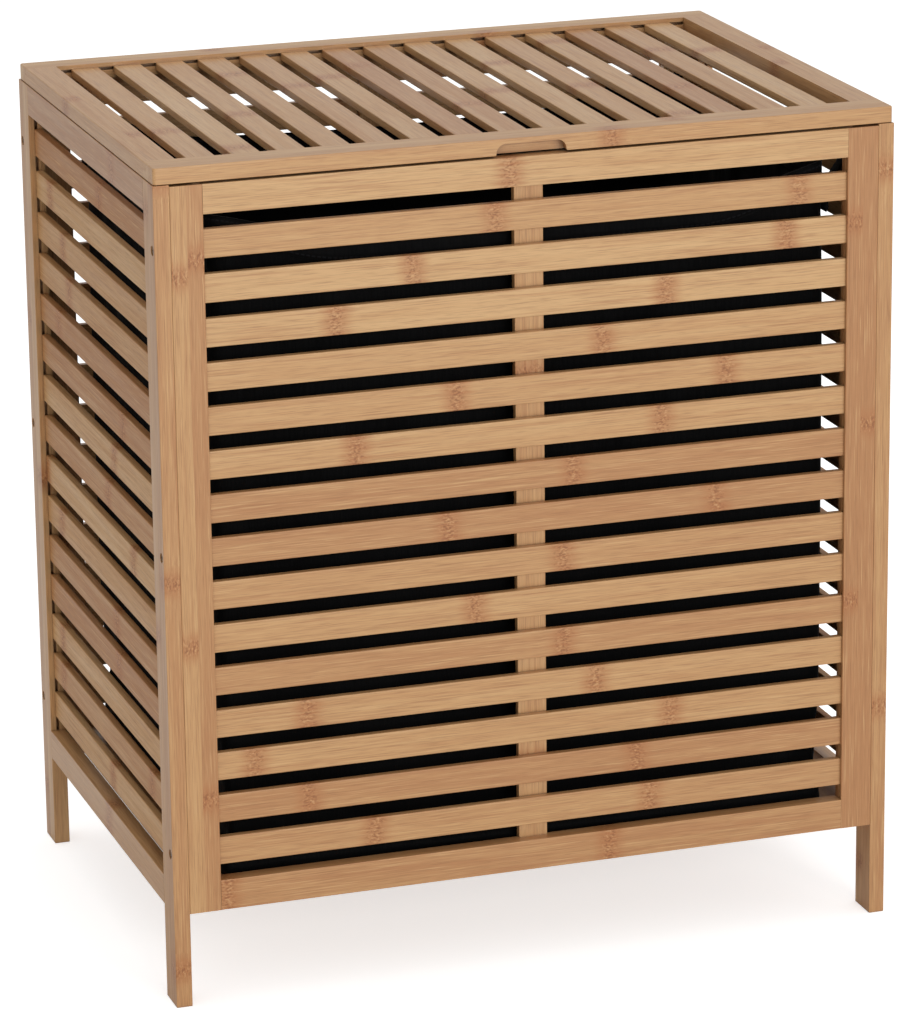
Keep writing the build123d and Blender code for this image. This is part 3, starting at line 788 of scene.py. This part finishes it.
for vertex in bag.data.vertices:
    x, y, z = vertex.co.x, vertex.co.y - bag_middle_y, vertex.co.z
    if z < bag_floor + hair:
        continue
    near_rim = ease_in(1 - (bag_high.z - z) / fade_length)
    from_side = bag_width / 2 - abs(x)
    from_end = bag_depth / 2 - abs(y)
    to_corner = max(from_side, from_end)
    span = x / (bag_width / 2) if from_end < from_side else y / (bag_depth / 2)
    if from_end < from_side:
        lift = corner_rise * ease_in(1 - to_corner / rise_length) - rim_dip * (1 - span * span)
    else:
        lift = corner_rise - side_rim_dip * (1 - span * span)
    vertex.co.z += near_rim * lift
    pull = corner_round * max(0.0, 1 - to_corner / corner_radius) ** 2 * ease_in((z - bag_floor) / corner_foot)
    vertex.co.x -= math.copysign(pull, x)
    vertex.co.y -= math.copysign(pull, y)
    wave = 1 + math.sin(span * waver_rate + waver_start["back" if y > 0 else "front"])
    waver = near_rim * rim_waver * (1 - span * span) * wave
    if from_end < from_side:
        vertex.co.y -= math.copysign(waver, y)
    else:
        vertex.co.x -= math.copysign(waver, x)
print("the rim climbs to", round(max(vertex.co.z for vertex in bag.data.vertices), 4))

# %% [markdown]
# ## Letting it hang
# Three parts of the cloth stay where they are: the bound rim, the crease round the bottom, and the patches
# where the loops are sewn on. They go into one vertex group, which the simulation takes as its pins. A second
# group marks the two top rows of points. The band of cloth between them becomes the hem later.

# %% Choose what is held
loop_patch = 0.022
loop_margin = 0.006
loop_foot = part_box("bag_loops")[0].z
held_group = bag.vertex_groups.new(name="held")
rim_group = bag.vertex_groups.new(name="rim band")
rim_vertices = []
held_vertices = []
for vertex in bag.data.vertices:
    x, y, z = vertex.co.x, vertex.co.y - bag_middle_y, vertex.co.z
    to_outline = min(bag_width / 2 - abs(x), bag_depth / 2 - abs(y))
    if vertex.index >= len(bag.data.vertices) - 2 * outline_edges:
        rim_vertices.append(vertex.index)
    at_rim = vertex.index >= len(bag.data.vertices) - outline_edges
    at_crease = z < bag_floor + hair and to_outline < hair
    beside_loop = bag_depth / 2 - abs(y) < loop_patch and bag_width / 2 - abs(x) < loop_patch / 2
    if at_rim or at_crease or (beside_loop and z > loop_foot - loop_margin):
        held_vertices.append(vertex.index)
rim_group.add(rim_vertices, 1.0, "REPLACE")
held_group.add(held_vertices, 1.0, "REPLACE")
print("held points:", len(held_vertices), "rim points:", len(rim_vertices))

# %% [markdown]
# Plain walls stand where the slats are while the cloth settles, so that it can't swing out through them. The
# simulation runs from frame to frame, so the scene is stepped through its frames, and the shape of the last one
# is kept. Sculpted folds could look as good, but they wouldn't know how long the cloth is.

# %% Let the cloth settle
simulation_frames = 28
cloth_gap = 0.0008    # the air kept between the cloth and a wall
side_gap = 0.006
wall_gap = 0.0028
cloth_settings = {
    "quality": 6, "mass": 0.12, "tension_stiffness": 12, "compression_stiffness": 12, "shear_stiffness": 6,
    "bending_stiffness": 0.35, "shrink_min": -0.012, "vertex_group_mass": "held", "air_damping": 4,
}
stop_settings = {"thickness_outer": cloth_gap, "thickness_inner": 0.004, "cloth_friction": 8}
low_stop = (0.7, 0.6)
tall_stop = (0.7, 0.7)


def add_stop(name, location, size, turn):
    """A plain wall that the cloth can't pass, there only while it settles."""
    start_clean()
    bpy.ops.mesh.primitive_plane_add(size=1, location=location, rotation=turn)
    stop = bpy.context.object
    stop.name = name
    stop.scale = (size[0], size[1], 1)
    stop.modifiers.new("Collision", "COLLISION")
    for setting, value in stop_settings.items():
        setattr(stop.collision, setting, value)
    return stop


quarter = math.pi / 2
half_x = bag_width / 2 + side_gap
half_y = bag_depth / 2 + wall_gap
middle_z = (bag_floor + bag_high.z) / 2
stops = [
    add_stop("stop_floor", (0, bag_middle_y, bag_floor - hair), low_stop, (0, 0, 0)),
    add_stop("stop_front", (0, bag_middle_y - half_y, middle_z), tall_stop, (-quarter, 0, 0)),
    add_stop("stop_back", (0, bag_middle_y + half_y, middle_z), tall_stop, (quarter, 0, 0)),
    add_stop("stop_left", (-half_x, bag_middle_y, middle_z), low_stop, (0, quarter, 0)),
    add_stop("stop_right", (half_x, bag_middle_y, middle_z), low_stop, (0, -quarter, 0)),
]
work_on(bag)
before = [vertex.co.copy() for vertex in bag.data.vertices]
cloth = bag.modifiers.new("Cloth", "CLOTH")
for setting, value in cloth_settings.items():
    setattr(cloth.settings, setting, value)
cloth.collision_settings.distance_min = cloth_gap
cloth.collision_settings.use_self_collision = False
cloth.point_cache.frame_end = simulation_frames
for step in range(1, simulation_frames + 1):
    bpy.context.scene.frame_set(step)
bpy.ops.object.modifier_apply(modifier="Cloth")
bpy.context.scene.frame_set(1)
moves = [(vertex.co - was).length for vertex, was in zip(bag.data.vertices, before)]
print("cloth settled, furthest move", round(max(moves) * 1000, 1), "mm")
for stop in stops:
    bpy.data.objects.remove(stop)

# %% [markdown]
# ## Thickness, hem and stitching
# One subdivision smooths the folds, and Solidify gives the cloth its real thickness. The hem is the top row of
# the bag, copied off before that and made thicker, as a folded binding is.

# %% Thicken the bag and make its hem
cloth_thickness = 0.0009
hem_thickness = 0.0026
hem_lift = 0.0006     # the fold stands a little above the cloth's edge
band_weight = 0.45    # a point between the band and the next row has a weight of a half
add_modifier(bag, "SUBSURF", levels=1, render_levels=1)
start_clean()
hem = bag.copy()
hem.data = bag.data.copy()
hem.name = "bag_hem_binding"
bpy.context.scene.collection.objects.link(hem)
band = hem.vertex_groups["rim band"].index
band_vertices = {
    vertex.index
    for vertex in hem.data.vertices
    if any(entry.group == band and entry.weight > band_weight for entry in vertex.groups)
}
pick(hem, "FACE", lambda face: not all(i in band_vertices for i in face.vertices))
bpy.ops.mesh.delete(type="FACE")
start_clean()
for vertex in hem.data.vertices:
    vertex.co.z += hem_lift
add_modifier(hem, "SOLIDIFY", thickness=hem_thickness, offset=0.0, use_even_offset=True)
add_modifier(bag, "SOLIDIFY", thickness=cloth_thickness, offset=0.0, use_even_offset=True)
for piece, material in ((bag, bag_cloth), (hem, hem_cloth)):
    piece.data.materials.clear()
    piece.data.materials.append(material)
    piece.data.shade_smooth()
    piece.vertex_groups.clear()
print("bag faces", len(bag.data.polygons), "hem faces", len(hem.data.polygons))

# %% [markdown]
# ## Webbing loops
# A loop is one short length of webbing: it is sewn flat to the bag's side, runs up to the hook, turns over the
# wire and comes back down to be sewn on top of itself. It could be bent from a flat strip with a curve, but the
# path is only two straights and a turn, so it is extruded from one edge along that path, as a strip is led by
# hand. One strip is made at the front right corner and copied to the other three.

# %% Lead one strip of webbing round its hook
loop_low, loop_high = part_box("bag_loops")
webbing_width = 0.010
webbing_thickness = 0.0011
eye_wall = 0.0030            # from the middle of the wire to the outside of the turn
turn_steps = 10
sewn_gap = 0.6               # from the wall to the webbing's middle, in its own thicknesses
return_gap = 1.1             # and from there to the middle of the end that comes back
return_drop = 0.0010
return_short = 0.0015        # the end stops a little above the start
patch_rise = 0.008           # the wall is felt for round a point this far above the loop's foot
patch_x, patch_y, patch_z = 0.030, 0.006, 0.010
strip_y = loop_low.y
wire = Vector((loop_high.x - eye_wall, strip_y, loop_high.z - eye_wall))
turn_radius = eye_wall - webbing_thickness / 2
near_loop = [
    abs(vertex.co.x)
    for vertex in bag.data.vertices
    if abs(vertex.co.z - (loop_low.z + patch_rise)) < patch_z
    and abs(abs(vertex.co.y - bag_middle_y) - abs(strip_y + webbing_width / 2 - bag_middle_y)) < patch_y
    and abs(vertex.co.x) > bag_width / 2 - patch_x
]
sewn_x = max(near_loop) + webbing_thickness * sewn_gap
sewn_top = Vector((sewn_x, strip_y, bag_high.z))
rise = wire - sewn_top
rise_angle = math.atan2(rise.z, rise.x)
path = [Vector((sewn_x, strip_y, loop_low.z)), sewn_top]
for step in range(turn_steps + 1):
    angle = rise_angle + math.pi / 2 - math.pi * step / turn_steps
    path.append(wire + turn_radius * Vector((math.cos(angle), 0, math.sin(angle))))
path.append(sewn_top + Vector((webbing_thickness * return_gap, 0, -return_drop)))
path.append(Vector((sewn_x + webbing_thickness * return_gap, strip_y, loop_low.z + return_short)))

first_rise = path[1] - path[0]
start_clean()
bpy.ops.mesh.primitive_plane_add(
    size=1, rotation=(0, math.pi / 2, 0),
    location=path[0] + first_rise / 2 + Vector((0, webbing_width / 2, 0)),
)
strip = bpy.context.object
strip.name = "bag_loop_front_right"
strip.scale = (first_rise.length, webbing_width, 1)
settle(strip)
pick(strip, "EDGE", lambda edge: all(strip.data.vertices[i].co.z > path[1].z - 1e-5 for i in edge.vertices))
for start, end in zip(path[1:], path[2:]):
    bpy.ops.mesh.extrude_region_move(TRANSFORM_OT_translate={"value": end - start})
start_clean()
print("webbing strip:", len(strip.data.polygons), "faces, sewn at x", round(sewn_x, 4))

# %% [markdown]
# The webbing's map runs along the strip, so that its ribs turn over the hook with it. Each corner of a face
# looks up how far along the path its point is.

# %% Map the strip along its length, and copy it to the corners
lengths = [0.0]
for start, end in zip(path, path[1:]):
    lengths.append(lengths[-1] + (end - start).length)
for corner in strip.data.loops:
    place = strip.data.vertices[corner.vertex_index].co
    nearest = min(range(len(path)), key=lambda i: (place.xz - path[i].xz).length)
    strip.data.uv_layers.active.data[corner.index].uv = (place.y - strip_y, lengths[nearest])

for end in ("front", "back"):
    for side in sides:
        loop = strip.copy()
        loop.data = strip.data.copy()
        loop.name = f"bag_loop_{end}_{side}"
        bpy.context.scene.collection.objects.link(loop)
        loop.scale = (1 if side == "right" else -1, 1 if end == "front" else -1, 1)
        loop.location.y = 0 if end == "front" else 2 * bag_middle_y
        settle(loop)
        pick(loop, "FACE", lambda face: True)
        bpy.ops.mesh.normals_make_consistent(inside=False)
        start_clean()
        add_modifier(loop, "SOLIDIFY", thickness=webbing_thickness, offset=0.0, use_even_offset=True)
        add_modifier(loop, "BEVEL", width=0.0003, segments=2, limit_method="ANGLE")
        loop.data.materials.clear()
        loop.data.materials.append(webbing)
        work_on(loop)
        bpy.ops.object.shade_smooth_by_angle(angle=math.radians(50))
        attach(loop, "chest")
bpy.data.objects.remove(strip)
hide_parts("bag_loops")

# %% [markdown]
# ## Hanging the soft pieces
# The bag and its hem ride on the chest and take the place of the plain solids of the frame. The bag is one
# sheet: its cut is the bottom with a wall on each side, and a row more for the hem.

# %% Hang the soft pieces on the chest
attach(bag, "chest")
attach(hem, "chest")
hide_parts("liner_bag")
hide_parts("bag_hem")
